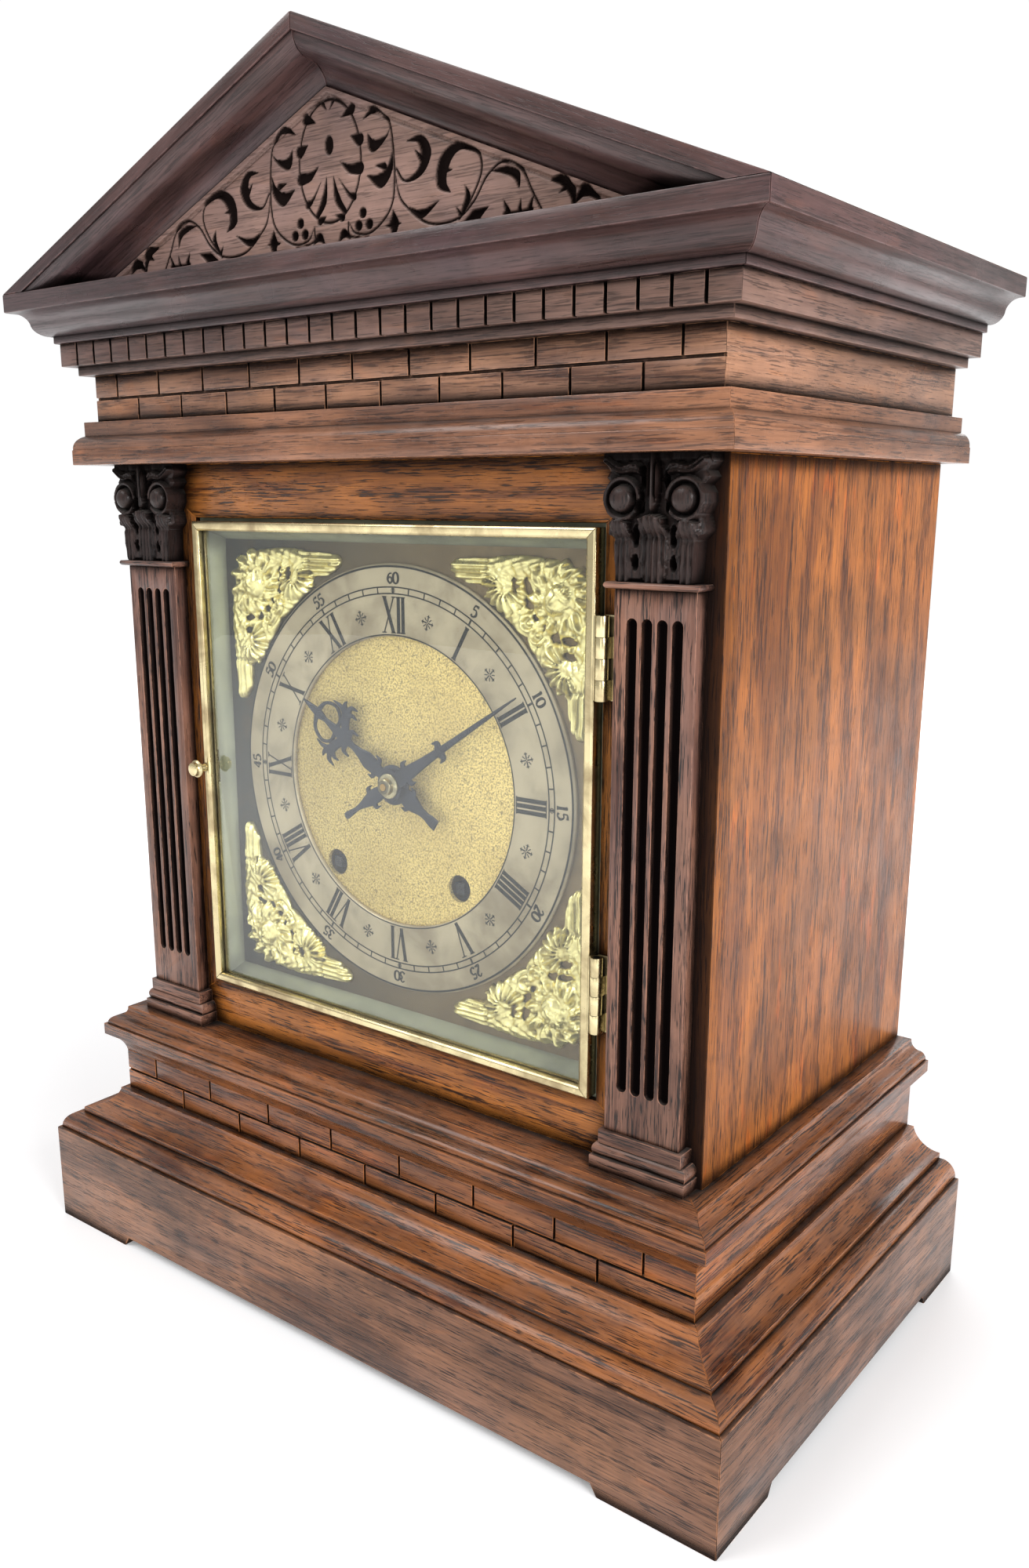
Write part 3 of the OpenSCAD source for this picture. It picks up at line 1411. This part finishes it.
module anchor() {
    d0 = back_plate_front + escape_from;
    color(steel) from_back() union() {
        rod([0, pivot_z], back_plate_back - 6, front_plate_front, arbor_r);
        facing(d0 - 1, d0 + wheel_t + 1) polygon(concat(
            [[0, pivot_z - 2], off_wheel(26, 2.6), off_wheel(37, 0.05), off_wheel(46, 0.2),
                off_wheel(50, 3.5), [7, pivot_z + 0.5], [2.5, pivot_z + 2.5]],
            [for (p = [[2.5, pivot_z + 2.5], [7, pivot_z + 0.5], off_wheel(50, 3.5), off_wheel(46, 0.2),
                off_wheel(37, 0.05), off_wheel(26, 2.6)]) [-p[0], p[1]]]));
        block(-2, 2, back_plate_back - 5.5, back_plate_back - 3.5, pivot_z - crutch_len,
            pivot_z + 2.2);
        for (side = [-1, 1]) block(side * (rod_r + 1.1) - 0.8, side * (rod_r + 1.1) + 0.8,
            pendulum_d - rod_r - 1, back_plate_back - 3.5, pivot_z - crutch_len,
            pivot_z - crutch_len + crutch_t);
        block(-rod_r - 1.9, rod_r + 1.9, back_plate_back - 5.5, back_plate_back - 3.5,
            pivot_z - crutch_len, pivot_z - crutch_len + crutch_t);
    }
}

module pendulum() {
    bob_z = pivot_z - pendulum_len;
    color(brass) from_back() difference() {
        union() {
            block(-4, 4, pendulum_d - 3, pendulum_d + 3, pivot_z - 5, pivot_z + 2.6);
            post(0, pendulum_d, bob_z - bob_r - 4, pivot_z - 4, rod_r);
            translate([0, -pendulum_d, bob_z]) rotate([90, 0, 0]) rotate_extrude()
                polygon(concat([[0, -bob_t / 2]], arc([0, -bob_t / 2], [bob_r, -1], -1, 5),
                    [[bob_r, 1]], arc([bob_r, 1], [0, bob_t / 2], -1, 5)));
            post(0, pendulum_d, bob_z - bob_r - 5.5, bob_z - bob_r - 0.5, 3);
        }
        rod([0, pivot_z], pendulum_d - 4, pendulum_d + 4, arbor_r + run_gap);
    }
}

module pin_wheel() {
    d0 = back_plate_front;
    color(brass) from_back() union() {
        arbor(pin_at);
        pinion(pin_at, leaf_teeth, strike_mod, toward(pin_at, strike_second_at), d0 + second_from - 0.5,
            d0 + second_from + wheel_t + 0.5);
        wheel(pin_at, pin_teeth, strike_mod, fly_angle, d0 + pin_from, d0 + pin_from + wheel_t, 0);
        for (k = [0:pins - 1])
            rod(pin_at + pin_ring * heading(k * 360 / pins + 20), d0 + pin_from - 2.5, d0 + pin_from + 0.5,
                0.6);
    }
}

module fly() {
    d0 = back_plate_front;
    color(brass) from_back() union() {
        rod(fly_at, back_plate_back, front_plate_front, pivot_r);
        pinion(fly_at, fly_pinion_teeth, strike_mod, fly_angle + 180, d0 + pin_from - 0.5,
            d0 + pin_from + wheel_t + 0.5);
        facing(d0 + fly_from, d0 + fly_to) translate(fly_at) square([24, 1], center = true);
    }
}

// Hammer hanging from its arbor beside a gong, on the right when side is 1
module hammer(side, d) {
    pivot = [side * hammer_pivot_x, hammer_pivot_z];
    head = [side * hammer_x, gong_z];
    color(brass) from_back() union() {
        rod(pivot, d - 3, front_plate_front, arbor_r);
        rod(pivot, d - 3, d + 3, 4);
        facing(d - 1.5, d + 1.5)
            polygon([pivot - [1.5, 0], pivot + [1.5, 0], head + [1.5, 0], head - [1.5, 0]]);
        rod(head, d - hammer_t / 2, d + hammer_t / 2, hammer_r);
    }
}

module treble_hammer() {
    hammer(-1, treble_d);
}

module bass_hammer() {
    hammer(1, bass_d);
}

// Flat spiral of round wire from its hub outwards, as one closed tube whose ends point at an angle
module spiral(d, end) {
    sides = 6;
    per_turn = 24;
    rings = gong_turns * per_turn;
    inner = gong_hub_r + 1;
    pitch = (gong_r - inner) / gong_turns;
    points = [for (i = [0:rings]) let (t = i / per_turn, r = inner + pitch * t, a = end + 360 * t)
        for (k = [0:sides - 1]) let (b = 360 * k / sides)
            let (out = r + gong_wire * cos(b))
                [out * cos(a), -d + gong_wire * sin(b), gong_z + out * sin(a)]];
    echo(least_gap = pitch - 2 * gong_wire);
    polyhedron(points = points, faces = concat(
        [[for (k = [0:sides - 1]) k]],
        [for (i = [0:rings - 1]) for (k = [0:sides - 1]) for (half = [0, 1])
            let (a = i * sides + k, b = i * sides + (k + 1) % sides)
                half == 0 ? [a, a + sides, b] : [b, a + sides, b + sides]],
        [[for (k = [sides - 1:-1:0]) rings * sides + k]]));
}

module gongs() {
    color(blue_steel) from_back() for (side = [-1, 1]) {
        d = side < 0 ? treble_d : bass_d;
        difference() {
            union() {
                spiral(d, side < 0 ? 180 : 0);
                rod([0, gong_z], d - 3, d + 3, gong_hub_r + 0.6);
            }
            rod([0, gong_z], d - 4, d + 4, gong_rod_r + 0.04);
        }
    }
}

module gong_stand() {
    mid = (treble_d + bass_d) / 2;
    color(iron) from_back() {
        block(-stand_half, stand_half, mid - stand_deep, mid + stand_deep, case_z, case_z + stand_t);
        block(-stand_post, stand_post, mid - stand_post_deep, mid + stand_post_deep, case_z + stand_t - 1,
            gong_z + stand_post);
        rod([0, gong_z], bass_d - 5, treble_d + 5, gong_rod_r);
    }
}

plinth();
base_moulding();
base_frieze();
cap_moulding();
case_boards();
side_panels();
front_frame();
pilaster_shafts();
pilaster_bases();
pilaster_neckings();
pilaster_capitals();
architrave();
upper_frieze();
dentil_course();
cornice();
tympanum();
raking_cornices();
roof_boards();
back_frame();
door_frame();
door_glass();
glass_beads();
fixed_hinge_leaves();
door_hinge_leaves();
hinge_pins();
door_knob();
dial_surround();
rear_door_frame();
rear_door_fret();
rear_hinge_leaves();
rear_knob();
dial_plate();
chapter_ring();
spandrels();
hour_hand();
minute_hand();
hand_nut();
movement_plates();
plate_pillars();
seat_board();
cannon_pinion();
minute_wheel();
hour_wheel();
going_barrel();
strike_barrel();
going_arbor();
strike_arbor();
second_wheel();
centre_wheel();
third_wheel();
escape_wheel();
anchor();
pendulum();
strike_wheel();
pin_wheel();
fly();
treble_hammer();
bass_hammer();
gongs();
gong_stand();
